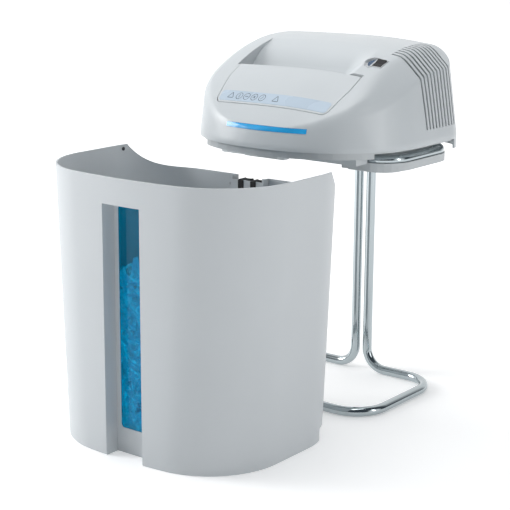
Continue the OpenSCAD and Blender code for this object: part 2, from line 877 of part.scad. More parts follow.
// Fixed pins that the two middle gears turn on, each with a retaining head
module gear_pins() {
    color(steel) in_place() {
        x_rod(second_axis, pin_r, -144, -plate_x, 32);
        x_rod(second_axis, 5, -145.5, -142.4, 32);
        x_rod(second_axis, 5, -125.6, -plate_x - plate_t, 32);
        x_rod(first_axis, pin_r, -151, -plate_x, 32);
        x_rod(first_axis, 5, -152, -149.9, 32);
        x_rod(first_axis, 5, -135.2, -plate_x - plate_t, 32);
    }
}

// ---------- motor ----------

pinion_shaft_r = 2.5;
module motor_pinion() {
    color(steel) in_place() difference() {
        gear(motor_axis, first_m, pinion_teeth,
             heading(motor_axis, first_axis) + 180 / pinion_teeth, -150, -142.8);
        x_rod(motor_axis, pinion_shaft_r + 0.02, -160, -130);
    }
}

module motor_armature() {
    color([0.60, 0.42, 0.25]) in_place() {
        x_rod(motor_axis, motor_shaft_r, -121, 19);
        x_rod(motor_axis, pinion_shaft_r, -150.5, -120.9);
        x_rod(motor_axis, 21, -98, -34, 64);
        x_rod(motor_axis, 10, -30, -14);
    }
}

module cooling_fan() {
    color(dark) in_place() difference() {
        union() {
            x_rod(motor_axis, 9, 1, 17);
            translate([9, motor_axis[0], motor_axis[1]]) rotate([90, 0, 90])
                for (i = [0:6]) rotate([0, 0, i * 360 / 7]) translate([8, 0, 0]) rotate([35, 0, 0])
                    translate([0, -1, -6.5]) cube([18, 2, 13]);
        }
        x_rod(motor_axis, motor_shaft_r + 0.02, -5, 30);
    }
}

module motor_case() {
    color([0.25, 0.26, 0.28]) in_place() difference() {
        x_rod(motor_axis, motor_r, -plate_x, motor_far, 72);
        x_rod(motor_axis, motor_r - 2.5, -plate_x + 3, motor_far - 3, 72);
        x_rod(motor_axis, motor_shaft_r + fit, -130, 10);
    }
}

module motor_saddle() {
    color(dark) in_place() difference() {
        translate([-90, motor_axis[0] - 22, seam_z]) cube([60, 44, 17]);
        x_rod(motor_axis, motor_r + 0.1, -100, -20, 72);
    }
}

// ---------- electrics ----------

board_z = 450;
module control_board() {
    color([0.1, 0.35, 0.2]) in_place() {
        translate([46, -106, board_z]) cube([84, 76, 1.6]);
        for (x = [51, 125], y = [-101, -35]) translate([x, y, seam_z]) cylinder(r = 3, h = board_z - seam_z + 0.01, $fn = 20);
        translate([52, -98, board_z + 1.59]) cube([30, 30, 26]);
        translate([90, -92, board_z + 1.59]) cube([16, 20, 15]);
        translate([52, -48, board_z + 1.59]) cube([60, 12, 12]);
        translate([114, -80, board_z + 1.59]) cube([8, 30, 22]);
    }
}

module run_capacitor() {
    color(dark) in_place() translate([31, -66, seam_z + 12]) rotate([-90, 0, 0]) cylinder(r = 12, h = 50, $fn = 48);
}

module mains_filter() {
    color(steel) in_place() translate([-136, -44, seam_z]) cube([42, 30, 24]);
}

// Sealed magnetic switch under the tray, beside the place of the docked bin's magnet
bin_sensor_y = -96;
module bin_sensor() {
    color(dark) in_place() translate([-192, bin_sensor_y - 11, 424]) cube([11, 22, tray_floor_z - 424]);
}

// ---------- bin ----------

module in_bin() {
    in_place() translate([-pull_left, bin_back_y, 0]) children();
}

// Half of the bin's outline: bowed front, large front corners, straight side, round back corner
module bin_plan(w) {
    front = -bin_depth + bin_front_r;
    side = w - bin_corner_r;
    corner_y = front - sqrt(pow(bin_front_r - bin_corner_r, 2) - side * side);
    turn = atan2(side, front - corner_y);
    half = concat(
        [for (i = [0:4]) [bin_front_r * sin(turn * i / 5), front - bin_front_r * cos(turn * i / 5)]],
        [for (i = [0:10]) let(a = turn + (90 - turn) * i / 10)
            [side + bin_corner_r * sin(a), corner_y - bin_corner_r * cos(a)]],
        [for (a = [0:10:90]) [w - bin_back_r + bin_back_r * cos(a), -bin_back_r + bin_back_r * sin(a)]]
    );
    polygon(concat(half, mirrored(half)));
}

module bin_volume(inset, over = 0) {
    hull() {
        translate([0, 0, -over]) linear_extrude(slab) offset(delta = -inset) bin_plan(bin_foot_half_w);
        translate([0, 0, bin_rim_z + over - slab]) linear_extrude(slab) offset(delta = -inset) bin_plan(bin_half_w);
    }
}

module box(x, y_from, y_to, z_from, z_to) {
    translate([-x, y_from, z_from]) cube([2 * x, y_to - y_from, z_to - z_from]);
}

recess_back = -bin_depth + recess_depth;
fall_power = 2.2;
// Everything above the falling line of the side walls' back ends, and the notch over the post channel
module rim_fall() {
    along_x(-300, 300) polygon(concat(
        [[-rim_fall_y, bin_rim_z + 5], [-rim_fall_y, bin_rim_z]],
        [for (i = [1:10]) [
            -rim_fall_y * (1 - i / 10),
            bin_back_z + (bin_rim_z - bin_back_z) * pow(1 - i / 10, fall_power)
        ]],
        [[10, bin_back_z], [10, bin_rim_z + 5]]
    ));
    box(channel_half_w, -channel_depth - 10, 5, bin_back_z - 5, bin_rim_z);
}

module window_plan(grow) {
    translate([0, (window_low + window_high) / 2])
        offset(r = 6 + grow) square([2 * window_half_w - 12, window_high - window_low - 12], center = true);
}

pad_w = 17;
pad_slot_w = 11;
pad_low = 345;
pad_top = bin_back_z - 5;
pad_screw_x = 42;
pad_screw_z = 371.5;
magnet_y = -85;
magnet_z = 421;
magnet_r = 3;
module bin_shell() {
    color(grey) in_bin() difference() {
        bin_volume(0);
        difference() {
            bin_volume(bin_wall, 1);
            box(recess_half_w + bin_wall, -bin_depth - 5, recess_back + bin_wall, -5, recess_top + bin_wall);
            box(channel_half_w + bin_wall, -channel_depth - bin_wall, 5, -5, bin_rim_z + 5);
            box(300, -400, 10, skirt_clear_z, bin_floor_z);
        }
        box(recess_half_w, -bin_depth - 5, recess_back, -5, recess_top);
        box(channel_half_w, -channel_depth, 5, -5, bin_rim_z + 5);
        box(300, -skirt_reach, 10, -5, skirt_clear_z);
        rim_fall();
        translate([0, recess_back + 5, 0]) rotate([90, 0, 0]) linear_extrude(10) window_plan(0);
        for (s = [-1, 1]) {
            translate([s * post_half_gap, 0, 0]) box(pad_slot_w / 2, -channel_depth - 5, 0, pad_low, bin_rim_z);
            translate([s * pad_screw_x, 1, pad_screw_z]) rotate([90, 0, 0]) cylinder(r = 1.6, h = 6, $fn = 24);
        }
        translate([-bin_half_w - 5, magnet_y, magnet_z]) rotate([0, 90, 0]) cylinder(r = magnet_r + 0.05, h = 20, $fn = 32);
    }
}

module window_pane() {
    color([0.05, 0.45, 0.85, 0.6]) in_bin() {
        translate([0, recess_back + 2.7 + 0.3 + 2.5, 0]) rotate([90, 0, 0]) linear_extrude(2.5) window_plan(3.5);
        translate([0, recess_back + 3.01, 0]) rotate([90, 0, 0]) linear_extrude(2.6) window_plan(-0.2);
    }
}

// Rubber pads that hug the posts when the bin is docked
module post_pads() {
    color(dark) in_bin() for (s = [-1, 1]) translate([s * post_half_gap, 0, 0]) difference() {
        union() {
            box(pad_w / 2, -channel_depth, 6, pad_low, pad_top);
            box(pad_slot_w / 2 - 0.2, -channel_depth - bin_wall - 0.8, -channel_depth + 0.01, pad_low + 0.2, pad_top);
        }
        translate([0, dock_gap, pad_low - 1]) cylinder(r = tube_d / 2 + 0.6, h = pad_top - pad_low + 2, $fn = 48);
    }
}

module pad_screws() {
    color(dark) in_bin() for (s = [-1, 1])
        translate([s * pad_screw_x, -bin_wall, pad_screw_z]) rotate([90, 0, 0]) screw(1.5, 3.2, 1.8, 2.8);
}

module bin_magnet() {
    color(dark) in_bin() translate([-bin_half_w + 0.8, magnet_y, magnet_z]) rotate([0, 90, 0])
        cylinder(r = magnet_r, h = 4.5, $fn = 32);
}

stand_tube();
support_loop();
left_cradle();
right_cradle();
cradle_screws();
base_tray();
tray_screws();
discharge_chute();
top_cover();
front_panel();
label_strip();
light_bar();
light_board();
switch_bezel();
status_lens();
switch_body();
rocker_switch();
cord_gland();
left_side_plate();
right_side_plate();
tie_rods();
shaft_bushes();
front_comb();
rear_comb();
front_paper_guide();
rear_paper_guide();
paper_sensor();
front_cutter();
rear_cutter();
front_sync_gear();
rear_sync_gear();
cutter_gear();
second_gear();
first_gear();
gear_pins();
motor_pinion();
motor_armature();
cooling_fan();
motor_case();
motor_saddle();
control_board();
run_capacitor();
mains_filter();
bin_sensor();
bin_shell();
window_pane();
post_pads();
pad_screws();
bin_magnet();
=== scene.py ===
import bmesh
import bpy
import json
import math
import random
from mathutils import Matrix, Vector
from mathutils.bvhtree import BVHTree


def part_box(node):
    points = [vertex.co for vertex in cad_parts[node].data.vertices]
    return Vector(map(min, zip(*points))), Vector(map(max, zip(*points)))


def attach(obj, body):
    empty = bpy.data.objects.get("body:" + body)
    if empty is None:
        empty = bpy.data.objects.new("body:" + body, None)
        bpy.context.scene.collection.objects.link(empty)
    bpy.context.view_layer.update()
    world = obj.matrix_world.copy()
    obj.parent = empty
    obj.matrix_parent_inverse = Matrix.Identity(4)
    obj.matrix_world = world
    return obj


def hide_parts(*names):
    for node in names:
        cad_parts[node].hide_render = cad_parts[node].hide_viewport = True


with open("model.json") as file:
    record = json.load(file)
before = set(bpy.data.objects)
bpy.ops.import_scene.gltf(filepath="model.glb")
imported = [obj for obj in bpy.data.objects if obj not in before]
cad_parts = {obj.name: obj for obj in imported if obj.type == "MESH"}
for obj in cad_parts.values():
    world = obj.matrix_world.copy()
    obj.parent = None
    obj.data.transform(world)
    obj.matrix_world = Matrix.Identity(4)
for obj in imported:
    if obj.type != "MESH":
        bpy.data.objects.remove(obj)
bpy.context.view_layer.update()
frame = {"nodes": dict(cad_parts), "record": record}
nodes = frame["nodes"]
scene = bpy.context.scene

# The stand frame: millimetres, zero on the floor midway between the two posts, front towards -Y.
stand_low, stand_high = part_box("stand_tube")
X0 = (stand_low[0] + stand_high[0]) / 2
Y0 = stand_high[1] - 0.008
bin_low, bin_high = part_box("bin_shell")
BIN_X = (bin_low[0] + bin_high[0]) / 2
BIN_Y = bin_high[1]


def at(x, y, z):
    return Vector((X0 + x / 1000, Y0 + y / 1000, z / 1000))


def in_bin(x, y, z):
    return Vector((BIN_X + x / 1000, BIN_Y + y / 1000, z / 1000))


# ---------- materials ----------

def socket(node, name, value):
    node.inputs[name].default_value = value


def material(name, color, rough=0.4, metallic=0.0, grain=0.0, grain_size=1.0, vary=0.03, vary_size=120.0,
             rough_vary=0.06, round_edge=0.0, stretch=None, extra=None):
    """A procedural surface: slow colour drift, varied roughness, fine grain, and worn-in round edges."""
    m = bpy.data.materials.new(name)
    m.use_nodes = True
    t = m.node_tree
    t.nodes.clear()
    out = t.nodes.new("ShaderNodeOutputMaterial")
    bsdf = t.nodes.new("ShaderNodeBsdfPrincipled")
    t.links.new(bsdf.outputs[0], out.inputs[0])
    coord = t.nodes.new("ShaderNodeTexCoord")
    source = coord.outputs["Object"]
    if stretch:
        mapping = t.nodes.new("ShaderNodeMapping")
        mapping.inputs["Scale"].default_value = stretch
        t.links.new(source, mapping.inputs["Vector"])
        source = mapping.outputs[0]
    slow = t.nodes.new("ShaderNodeTexNoise")
    socket(slow, "Scale", 1000.0 / vary_size)
    socket(slow, "Detail", 4.0)
    t.links.new(source, slow.inputs["Vector"])
    ramp = t.nodes.new("ShaderNodeValToRGB")
    ramp.color_ramp.elements[0].position = 0.3
    ramp.color_ramp.elements[1].position = 0.7
    ramp.color_ramp.elements[0].color = [c * (1 - vary) for c in color] + [1]
    ramp.color_ramp.elements[1].color = [min(1, c * (1 + vary)) for c in color] + [1]
    t.links.new(slow.outputs["Fac"], ramp.inputs["Fac"])
    t.links.new(ramp.outputs[0], bsdf.inputs["Base Color"])
    spread = t.nodes.new("ShaderNodeMapRange")
    socket(spread, "From Min", 0.3)
    socket(spread, "From Max", 0.7)
    socket(spread, "To Min", max(0.02, rough - rough_vary))
    socket(spread, "To Max", min(1.0, rough + rough_vary))
    t.links.new(slow.outputs["Fac"], spread.inputs["Value"])
    t.links.new(spread.outputs[0], bsdf.inputs["Roughness"])
    socket(bsdf, "Metallic", metallic)
    normal = None
    if round_edge:
        bevel = t.nodes.new("ShaderNodeBevel")
        bevel.samples = 4
        socket(bevel, "Radius", round_edge)
        normal = bevel.outputs[0]
    if grain:
        fine = t.nodes.new("ShaderNodeTexNoise")
        socket(fine, "Scale", 1000.0 / grain_size)
        socket(fine, "Detail", 3.0)
        t.links.new(source, fine.inputs["Vector"])
        bump = t.nodes.new("ShaderNodeBump")
        socket(bump, "Strength", grain)
        socket(bump, "Distance", 0.0002)
        t.links.new(fine.outputs["Fac"], bump.inputs["Height"])
        if normal:
            t.links.new(normal, bump.inputs["Normal"])
        normal = bump.outputs[0]
    if normal:
        t.links.new(normal, bsdf.inputs["Normal"])
    for key, value in (extra or {}).items():
        socket(bsdf, key, value)
    return m


shell_grey = material("moulded_grey", (0.585, 0.62, 0.64), rough=0.34, grain=0.10, grain_size=0.8, vary=0.012,
                      round_edge=0.0006)
bin_grey = material("bin_grey", (0.575, 0.605, 0.625), rough=0.42, grain=0.16, grain_size=0.9, vary=0.015,
                    round_edge=0.0006)
tray_grey = material("tray_grey", (0.53, 0.56, 0.575), rough=0.42, grain=0.12, grain_size=0.8, vary=0.02,
                     round_edge=0.0006)
chrome = material("chrome_plate", (0.44, 0.49, 0.51), rough=0.10, metallic=1.0, rough_vary=0.03, vary=0.01,
                  vary_size=40)
dark = material("dark_moulding", (0.025, 0.027, 0.03), rough=0.5, grain=0.15, vary=0.15, round_edge=0.0004)
black = material("black_rocker", (0.008, 0.008, 0.01), rough=0.38, grain=0.1, vary=0.1, round_edge=0.0005,
                 extra={"Specular IOR Level": 0.25})
silver = material("silver_lacquer", (0.62, 0.64, 0.66), rough=0.28, metallic=0.55, grain=0.05,
                  round_edge=0.0003)
label_blue = material("label_film", (0.50, 0.60, 0.70), rough=0.3, vary=0.03, extra={"Coat Weight": 0.3})
icon_blue = material("label_print", (0.035, 0.06, 0.10), rough=0.4, vary=0.08)
lamp_blue = material("lamp_blue", (0.02, 0.30, 0.60), rough=0.22, vary=0.35, vary_size=70,
                     extra={"Emission Color": (0.02, 0.26, 0.58, 1), "Emission Strength": 0.32,
                            "Coat Weight": 0.2})
lens_blue = material("smoked_lens", (0.004, 0.035, 0.085), rough=0.15, vary=0.6, vary_size=7,
                     extra={"Emission Color": (0.0, 0.06, 0.16, 1), "Emission Strength": 0.35})
pane_blue = material("blue_acrylic", (0.0, 0.36, 0.62), rough=0.04, vary=0.03, rough_vary=0.02,
                     extra={"Transmission Weight": 0.97, "IOR": 1.25, "Specular IOR Level": 0.3})
rubber = material("pad_rubber", (0.012, 0.012, 0.013), rough=0.65, grain=0.2, vary=0.2, round_edge=0.0005)
steel = material("brushed_steel", (0.55, 0.56, 0.58), rough=0.3, metallic=1.0, grain=0.15, grain_size=0.5,
                 vary=0.06, vary_size=30, stretch=(0.1, 1, 1), round_edge=0.0003)
bronze = material("sintered_bronze", (0.45, 0.27, 0.10), rough=0.45, metallic=1.0, grain=0.2, grain_size=0.4)
nylon = material("natural_nylon", (0.72, 0.70, 0.62), rough=0.45, grain=0.08, round_edge=0.0003)
board = material("circuit_board", (0.015, 0.12, 0.05), rough=0.35, vary=0.2, vary_size=12, round_edge=0.0002)
iron = material("lacquered_iron", (0.06, 0.065, 0.07), rough=0.38, metallic=0.4, grain=0.2, vary=0.1)
winding = material("copper_winding", (0.45, 0.17, 0.07), rough=0.35, metallic=0.9, grain=0.5, grain_size=0.7,
                   stretch=(6, 1, 1))
paper_white = material("shredded_paper", (0.80, 0.82, 0.84), rough=0.75, vary=0.10, vary_size=18)
# Painted light: this paper glows (emission 0.30) to stand in for the light that comes through the blue pane onto
# the shreds; it is no lamp.
paper_painted_glow = material("paper_behind_pane_painted_glow", (0.84, 0.86, 0.88), rough=0.6, vary=0.35, vary_size=14,
                     extra={"Emission Color": (0.9, 0.95, 1.0, 1), "Emission Strength": 0.30})

finish = {
    "chrome_tube": chrome, "grey_plastic": tray_grey, "dark_plastic": dark, "black_plastic": black,
    "silver_trim": silver, "label_film": label_blue, "blue_light": lamp_blue, "blue_pane": pane_blue,
    "lens": lens_blue, "rubber": rubber, "steel": steel, "bronze": bronze, "nylon": nylon, "board": board,
    "motor_iron": iron, "winding": winding,
}
for part in frame["record"]["subparts"]:
    mesh = nodes[part["node"]].data
    mesh.materials.clear()
    mesh.materials.append(finish[part["material_slot"]])


# ---------- mesh helpers ----------

def new_object(name, bm, mat, body, stands_for=(), smooth_angle=30):
    mesh = bpy.data.meshes.new(name)
    bm.to_mesh(mesh)
    bm.free()
    return finish_object(name, mesh, mat, body, stands_for, smooth_angle)


def finish_object(name, mesh, mat, body, stands_for=(), smooth_angle=30):
    obj = bpy.data.objects.new(name, mesh)
    scene.collection.objects.link(obj)
    mesh.materials.clear()
    mesh.materials.append(mat)
    mesh.shade_smooth()
    mesh.set_sharp_from_angle(angle=math.radians(smooth_angle))
    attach(obj, body)
    if stands_for:
        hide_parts(*stands_for)
    return obj


def scratch(name, bm):
    mesh = bpy.data.meshes.new(name)
    bm.to_mesh(mesh)
    bm.free()
    obj = bpy.data.objects.new(name, mesh)
    scene.collection.objects.link(obj)
    return obj


def applied(obj):
    """The object's mesh with its modifiers applied; the object itself is removed."""
    deps = bpy.context.evaluated_depsgraph_get()
    mesh = bpy.data.meshes.new_from_object(obj.evaluated_get(deps))
    bpy.data.objects.remove(obj)
    return mesh


def boolean(base, cutters, kind):
    """base (an object) with each cutter (an object) subtracted, united or intersected, one after another."""
    for cutter in cutters:
        mod = base.modifiers.new("cut", "BOOLEAN")
        mod.operation = kind
        mod.solver = "MANIFOLD"
        mod.object = cutter
    mesh = applied(base)
    for cutter in cutters:
        bpy.data.objects.remove(cutter)
    obj = bpy.data.objects.new("step", mesh)
    scene.collection.objects.link(obj)
    return obj


def prism(points, low, high, place=at, axis="z"):
    """A closed prism over a polygon: points are (x, y) for axis z, or (y, z) for axis x."""
    bm = bmesh.new()
    area = sum(a[0] * b[1] - b[0] * a[1] for a, b in zip(points, points[1:] + points[:1]))
    if area < 0:
        points = points[::-1]

    def spot(p, h):
        return place(p[0], p[1], h) if axis == "z" else place(h, p[0], p[1])

    bottom = [bm.verts.new(spot(p, low)) for p in points]
    top = [bm.verts.new(spot(p, high)) for p in points]
    bm.faces.new(bottom[::-1])
    bm.faces.new(top)
    n = len(points)
    for i in range(n):
        bm.faces.new([bottom[i], bottom[(i + 1) % n], top[(i + 1) % n], top[i]])
    bmesh.ops.recalc_face_normals(bm, faces=bm.faces)
    return scratch("prism", bm)


def block(x0, x1, y0, y1, z0, z1, place=at):
    return prism([(x0, y0), (x1, y0), (x1, y1), (x0, y1)], z0, z1, place)


def ring_loft(rings):
    """Rings of equal length, from bottom to top, as one closed body."""
    bm = bmesh.new()
    rows = [[bm.verts.new(p) for p in ring] for ring in rings]
    n = len(rows[0])
    for a, b in zip(rows, rows[1:]):
        for i in range(n):
            bm.faces.new([a[i], a[(i + 1) % n], b[(i + 1) % n], b[i]])
    bm.faces.new(rows[0][::-1])
    bm.faces.new(rows[-1])
    bmesh.ops.recalc_face_normals(bm, faces=bm.faces)
    return bm


def round_polygon(points, radius, steps=6):
    """A polygon (x, y) with every corner rounded."""
    out = []
    n = len(points)
    for i in range(n):
        p, a, b = Vector(points[i]), Vector(points[i - 1]), Vector(points[(i + 1) % n])
        u, v = (a - p).normalized(), (b - p).normalized()
        half = math.acos(max(-1, min(1, u.dot(v)))) / 2
        cut = radius / math.tan(half)
        centre = p + (u + v).normalized() * radius / math.sin(half)
        start, end = p + u * cut - centre, p + v * cut - centre
        turn = math.atan2(start.x * end.y - start.y * end.x, start.dot(end))
        for k in range(steps + 1):
            c, s = math.cos(turn * k / steps), math.sin(turn * k / steps)
            out.append((centre.x + start.x * c - start.y * s, centre.y + start.x * s + start.y * c))
    return out


# ---------- outlines of the head, as in the CAD ----------

CREST_Z, CREST_Y, DECK_K = 597.5, -40.0, 0.00164
CROWN_K, LEFT_CROWN_K, SHOULDER_SOFT = 0.00045, 0.0001, 9.0
BOW_N, BOW_Y, BACK, BACK_R = 2.3, -133.0, 11.0, 60.0
HALF_W, FRONT = 196.0, 321.0
SEAM, REAR_SKIRT, WALL = 442.0, 426.0, 3.0
CORE_LOW, ABOVE_HEAD = 380.0, 660.0
LIP_Y, SLOT_BACK, SLOT_Z = -200.0, -183.0, 538.0
RAMP = [(-183, 538), (-176, 539), (-169, 542.5), (-162, 548), (-155, 556), (-148, 563), (-140, 569.7),
        (-132, 575.5), (-123, 580.6), (-112, 585.7), (-100, 591), (-92, 595)]
RAMP_FULL, RAMP_OUT = 60.0, 104.0


def bow_x(y, w, d):
    return w if y >= BOW_Y else w * max(0.0, 1 - ((BOW_Y - y) / d) ** BOW_N) ** (1 / BOW_N)


def deck_z(y):
    return CREST_Z - DECK_K * max(0.0, CREST_Y - y) ** 2


def fall(x, k, bend, slope, soft):
    """Crown, then a shoulder whose bend is rounded over the length `soft`."""
    base = k * min(x, bend) ** 2
    t = x - bend
    if t <= -soft:
        return base
    if t >= soft:
        return k * bend * bend + slope * t
    return k * min(x, bend) ** 2 + slope * (t + soft) ** 2 / (4 * soft)


def drop(x):
    """How far the deck lies below its middle line; the left shoulder stands further out than the right one."""
    if x < 0:
        return fall(-x, LEFT_CROWN_K, 160, 1.1, SHOULDER_SOFT)
    return fall(x, CROWN_K, 143, 0.94, SHOULDER_SOFT)


def quarter(y, r):
    d = max(0.0, y + r - BACK)
    return r - math.sqrt(max(0.0, r * r - d * d))


def section_x(y, side):
    e = 18.0 if side > 0 else 12.0
    if y < BOW_Y:
        e += (4 - e) * (BOW_Y - y) / (FRONT + BOW_Y)
    return bow_x(y, HALF_W - e, FRONT + BOW_Y - e) - quarter(y, 60)


def plan(inset):
    """The head seen from above, moved inwards by inset."""
    half = []
    w, d = HALF_W - inset, FRONT + BOW_Y - inset
    for i in range(31):
        t = math.radians(i * 3.0)
        half.append((w * math.sin(t) ** (2 / BOW_N), BOW_Y - d * max(0.0, math.cos(t)) ** (2 / BOW_N)))
    for i in range(13):
        a = math.radians(i * 7.5)
        half.append((HALF_W - BACK_R + (BACK_R - inset) * math.cos(a),
                     BACK - BACK_R + (BACK_R - inset) * math.sin(a)))
    return half + [(-x, y) for x, y in reversed(half) if x > 0.001]


def head_hull(inset, low, step_y=6.0):
    """The closed convex body of the head above the height `low`."""
    bm = bmesh.new()
    for x, y in plan(inset):
        bm.verts.new(at(x, y, low))
        bm.verts.new(at(x, y, SEAM + 6))
    ys = [-316, -314, -311.5, -308, -303.5, -298]
    y = -292.0
    while y < -18:
        ys.append(y)
        y += step_y
    ys += [BACK - 30 * (1 - math.sin(math.radians(a))) for a in range(0, 91, 10)]
    for y in ys:
        top = deck_z(y) - quarter(y, 30) - inset
        edge = 10 * min(1.0, max(0.0, BOW_Y - y) / 100)
        shift = -inset if y > 0 else (min(inset, BOW_Y - y) if y < BOW_Y else 0)
        for side in (-1, 1):
            w = section_x(y, side) - inset
            if w <= 1:
                continue
            xs = [w * k / 26 for k in range(27)]
            for x in xs:
                d = max(0.0, x - (w - 16)) / 16
                z = top - drop(side * x) - edge * d ** 2.2
                bm.verts.new(at(side * x, y + shift, z))
    result = bmesh.ops.convex_hull(bm, input=bm.verts)
    junk = [g for g in result["geom_interior"] + result["geom_unused"] if isinstance(g, bmesh.types.BMVert)]
    bmesh.ops.delete(bm, geom=list(set(junk)), context="VERTS")
    bmesh.ops.recalc_face_normals(bm, faces=bm.faces)
    return scratch("hull", bm)


def smooth_body(inset):
    """The same body, evenly meshed and with its creases rounded."""
    obj = head_hull(inset, 395)
    mod = obj.modifiers.new("even", "REMESH")
    mod.mode = "VOXEL"
    mod.voxel_size = 0.0022
    mod.use_smooth_shade = True
    mod = obj.modifiers.new("soft", "SMOOTH")
    mod.factor = 0.5
    mod.iterations = 10
    mesh = applied(obj)
    obj = bpy.data.objects.new("body", mesh)
    scene.collection.objects.link(obj)
    return obj


def tongue(grow):
    shape = [(-118, -170), (118, -170), (118, -230), (107, -280), (-107, -280), (-118, -230)]
    pts = round_polygon(shape, 12)
    c = []
    n = len(pts)
    for i in range(n):
        a, b = Vector(pts[i - 1]), Vector(pts[(i + 1) % n])
        t = (b - a).normalized()
        s = Vector(pts[i])
        normal = Vector((t.y, -t.x))
        if normal.dot(s - Vector((0, -222))) < 0:
            normal = -normal
        s += normal * grow
        c.append((s.x, min(s.y, -150)))
    return c


def clipped(points, y_max):
    """The part of a convex polygon with y below y_max."""
    out = []
    n = len(points)
    for i in range(n):
        a, b = points[i], points[(i + 1) % n]
        if a[1] <= y_max:
            out.append(a)
        if (a[1] <= y_max) != (b[1] <= y_max):
            k = (y_max - a[1]) / (b[1] - a[1])
            out.append((a[0] + k * (b[0] - a[0]), y_max))
    return out


LAMP_X, LAMP_HALF_W, LAMP_LOW, LAMP_HIGH = 13.0, 74.0, 470.0, 477.0
VENT_FIRST_Y, VENT_PITCH, VENT_HALF_W = -121.0, 9.6, 2.1
SWITCH_X, SWITCH_Y, DISH_R = 114.5, -157.8, 16.5


def lamp_block(slack):
    return block(LAMP_X - LAMP_HALF_W - slack, LAMP_X + LAMP_HALF_W + slack, -345, -262,
                 LAMP_LOW - slack, LAMP_HIGH + slack)


def ramp_space(grow):
    """The pocket's space: its ramp has its full depth up to RAMP_FULL and runs out into the deck at RAMP_OUT."""
    rings = []
    steps = 10
    spots = [(-125 - 1.25 * grow, 0.0)] + [
        (RAMP_FULL + (RAMP_OUT + grow - RAMP_FULL) * k / steps, k / steps) for k in range(steps + 1)]
    for x, t in spots:
        fade = t * t * (3 - 2 * t)
        line = [(y + (1.25 * grow if y > LIP_Y else 0), z + fade * (deck_z(y) - 4 - z) - grow)
                for y, z in [(LIP_Y, SLOT_Z)] + RAMP]
        rings.append([at(x, y, z) for y, z in [(LIP_Y, 660)] + line
                      + [(RAMP[-1][0] + 1.25 * grow, 660)]])
    bm = ring_loft(rings)
    bmesh.ops.triangulate(bm, faces=bm.faces)
    return scratch("ramp", bm)


# ---------- cover ----------

body = smooth_body(0)
inner = head_hull(WALL, CORE_LOW, 12)
pocket_block = ramp_space(2)
slot_block = block(60, 121.5, LIP_Y, LIP_Y + 9, SLOT_Z - 2, 640)
inner = boolean(inner, [pocket_block, slot_block], "DIFFERENCE")
void = ramp_space(0)
throat = block(-125, RAMP_FULL, LIP_Y - 0.01, SLOT_BACK, SLOT_Z - 9, SLOT_Z + 4)
trench = block(RAMP_FULL - 1, 119, LIP_Y - 0.01, LIP_Y + 6.5, SLOT_Z - 9, ABOVE_HEAD)
under_front = block(-230, 230, -360, -38, CORE_LOW, SEAM)
under_back = block(-230, 230, -39, 60, CORE_LOW, REAR_SKIRT)
gap = prism([(x - 0.5, y) for x, y in clipped(tongue(0.8), LIP_Y + 0.005)], 470, ABOVE_HEAD)
lamp_slot = lamp_block(0.3)
vent_rows = [VENT_FIRST_Y + VENT_PITCH * i for i in range(10)]
vents = [block(123, 230, y - VENT_HALF_W, y + VENT_HALF_W, 465, ABOVE_HEAD) for y in vent_rows]
switch_at = at(SWITCH_X, SWITCH_Y, deck_z(SWITCH_Y) - drop(SWITCH_X))
switch_turn = (Matrix.Rotation(math.atan(2 * DECK_K * (CREST_Y - SWITCH_Y)), 4, "X")
               @ Matrix.Rotation(math.atan(2 * CROWN_K * SWITCH_X), 4, "Y"))
switch_frame = Matrix.Translation(switch_at) @ switch_turn


def bezel_outline(grow):
    """The switch bezel from above: round on the left, square on the right."""
    pts = []
    r = DISH_R + grow
    for i in range(33):
        a = math.pi / 2 + math.pi * i / 32
        pts.append((r * math.cos(a), r * math.sin(a)))
    step, right, half = 0.5 + grow, 19 + grow, 13 + grow
    return pts + [(step, -r), (step, -half), (right, -half), (right, half), (step, half), (step, r)]


def in_switch(x, y, z):
    return switch_frame @ Vector((x / 1000, y / 1000, z / 1000))


switch_hole = prism(bezel_outline(0.2), -14, 26, place=in_switch)
GLAND_X, GLAND_Z, GLAND_HOLE_R = -110.0, 462.0, 9.05
turns = [math.tau * i / 48 for i in range(48)]
gland_hole = scratch("gland", ring_loft([
    [at(GLAND_X + GLAND_HOLE_R * math.cos(a), y, GLAND_Z + GLAND_HOLE_R * math.sin(a)) for a in turns]
    for y in (-10, 40)]))
cover = boolean(body, [inner, void, throat, trench, under_front, under_back, gap, lamp_slot, switch_hole,
                       gland_hole] + vents, "DIFFERENCE")
finish_object("cover", applied(cover), shell_grey, "stand_and_head", ["top_cover"], 28)

# ---------- tongue panel, label and lamp ----------

panel_skin = smooth_body(-0.4)
panel_core = head_hull(2.4, CORE_LOW, 12)
panel_plan = prism(clipped(tongue(0), LIP_Y), 470, ABOVE_HEAD)
panel = boolean(panel_skin, [panel_plan], "INTERSECT")
panel = boolean(panel, [panel_core], "DIFFERENCE")
flange = block(-124, 118, LIP_Y - 2.5, LIP_Y, SLOT_Z - 4, 575)
flange_limit = head_hull(3.1, CORE_LOW, 12)
flange = boolean(flange, [flange_limit], "INTERSECT")
panel = boolean(panel, [flange], "UNION")
finish_object("lip_panel", applied(panel), shell_grey, "stand_and_head", ["front_panel"], 28)

label_skin = smooth_body(-0.7)
label_outline = [(-107, -259.5), (-104, -277.5), (104, -277.5), (107, -259.5)]
label_plan = prism(round_polygon(label_outline, 5), 470, ABOVE_HEAD)
label = boolean(label_skin, [label_plan], "INTERSECT")
label_core = head_hull(1.5, CORE_LOW, 12)
label = boolean(label, [label_core], "DIFFERENCE")
label_mesh = applied(label)
label_tree = BVHTree.FromPolygons([v.co.copy() for v in label_mesh.vertices],
                                  [tuple(p.vertices) for p in label_mesh.polygons])
finish_object("label_strip_film", label_mesh, label_blue, "stand_and_head", ["label_strip"], 28)


